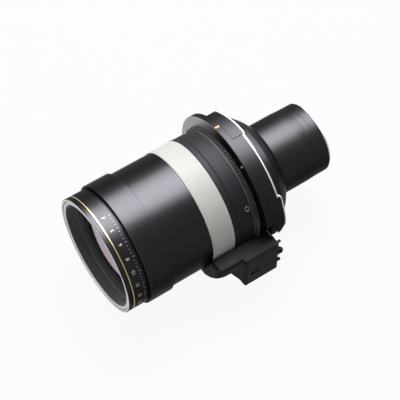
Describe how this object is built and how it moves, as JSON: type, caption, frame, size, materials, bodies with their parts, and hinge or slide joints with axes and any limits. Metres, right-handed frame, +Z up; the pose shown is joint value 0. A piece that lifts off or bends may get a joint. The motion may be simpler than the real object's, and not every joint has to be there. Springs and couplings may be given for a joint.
{
  "type": "projection lens",
  "caption": "Motorised zoom lens for a large projector, black barrels with a silver band, a bayonet flange and a drive housing",
  "frame": {"origin": "on the optical axis, at the seating face of the mount that rests against the projector", "axes": "+Y along the optical axis towards the projector, +X to the side of the drive housing, +Z up"},
  "size_m": [0.1625, 0.2641, 0.1552],
  "materials": {
    "satin_black": "satin",
    "gloss_black": "gloss",
    "matte_black": "matte",
    "grey_matte": "matte",
    "silver_satin": "satin",
    "bright_metal": "satin",
    "grey_metal": "satin",
    "gold_metal": "polished",
    "coated_glass": "polished",
    "lens_glass": "polished",
    "orange_paint": "gloss",
    "housing_plastic": "matte",
    "dark_plastic": "matte",
    "board_green": "satin"
  },
  "bodies": {
    "lens_body": {"slide_keys": "gold_metal", "slide_barrel": "satin_black", "silver_band": "silver_satin", "edge_ring": "satin_black", "main_barrel": "grey_matte", "barrel_screws": "gloss_black", "guide_tube": "matte_black", "mount_flange": "satin_black", "bayonet_ring": "satin_black", "seat_plate": "bright_metal", "wear_pads": "bright_metal", "flange_screws": "bright_metal", "index_mark": "orange_paint", "mount_shoulder": "satin_black", "rear_barrel": "satin_black", "aperture_stop": "matte_black", "relay_lens": "lens_glass", "rear_lens": "lens_glass", "rear_ring": "grey_metal", "top_cover": "housing_plastic", "connector_block": "housing_plastic", "block_screws": "bright_metal", "connector_insert": "dark_plastic", "contact_pins": "gold_metal", "guide_pins": "housing_plastic", "circuit_board": "board_green", "motor_bracket": "grey_matte", "zoom_motor": "silver_satin", "focus_motor": "silver_satin", "limit_switches": "dark_plastic", "gear_spring": "bright_metal", "plate_clip": "bright_metal"},
    "focus_front": {"trim_ring": "grey_metal", "name_ring": "gloss_black", "metal_line": "gold_metal", "front_retaining_ring": "matte_black", "front_element": "coated_glass", "front_spacer": "matte_black", "second_element": "lens_glass", "front_cell": "matte_black", "front_barrel": "satin_black"},
    "focus_drive_ring": {"focus_ring": "silver_satin"},
    "focus_motor_pinion": {"focus_pinion": "dark_plastic"},
    "zoom_ring": {"zoom_gear_ring": "matte_black", "zoom_drive_arm": "bright_metal", "cam_tube": "silver_satin"},
    "zoom_motor_pinion": {"zoom_pinion": "dark_plastic"},
    "front_zoom_group": {"variator_cell": "matte_black", "variator_lens": "lens_glass", "variator_pins": "gold_metal"},
    "rear_zoom_group": {"compensator_cell": "matte_black", "compensator_lens": "lens_glass", "compensator_pins": "gold_metal"}
  },
  "joints": [
    {"name": "zoom_ring_turn", "type": "hinge", "parent": "lens_body", "child": "zoom_ring", "pos_m": [0, -0.03, 0], "axis": [0, -1, 0], "range_deg": [0, 100]},
    {"name": "zoom_pinion_turn", "type": "hinge", "parent": "lens_body", "child": "zoom_motor_pinion", "pos_m": [0.07026, -0.045, -0.02215], "axis": [0, -1, 0], "range_deg": [-900.01, 0]},
    {"name": "front_zoom_slide", "type": "slide", "parent": "lens_body", "child": "front_zoom_group", "axis": [0, 1, 0], "range_m": [0, 0.028]},
    {"name": "rear_zoom_slide", "type": "slide", "parent": "lens_body", "child": "rear_zoom_group", "axis": [0, 1, 0], "range_m": [-0.01, 0]},
    {"name": "focus_ring_turn", "type": "hinge", "parent": "lens_body", "child": "focus_drive_ring", "pos_m": [0, -0.09, 0], "axis": [0, -1, 0], "range_deg": [-20, 40]},
    {"name": "focus_pinion_turn", "type": "hinge", "parent": "lens_body", "child": "focus_motor_pinion", "pos_m": [0.05565, -0.045, -0.03614], "axis": [0, -1, 0], "range_deg": [-372, 186]},
    {"name": "focus_slide", "type": "slide", "parent": "lens_body", "child": "focus_front", "axis": [0, 1, 0], "range_m": [-0.004, 0.002]}
  ],
  "couplings": [
    {"joint": "zoom_pinion_turn", "follows": "zoom_ring_turn", "ratio": -9},
    {"joint": "front_zoom_slide", "follows": "zoom_ring_turn", "m_per_rad": 0.016043},
    {"joint": "rear_zoom_slide", "follows": "zoom_ring_turn", "m_per_rad": -0.0057296},
    {"joint": "focus_pinion_turn", "follows": "focus_ring_turn", "ratio": -9.2857},
    {"joint": "focus_slide", "follows": "focus_ring_turn", "m_per_rad": -0.0057296}
  ]
}
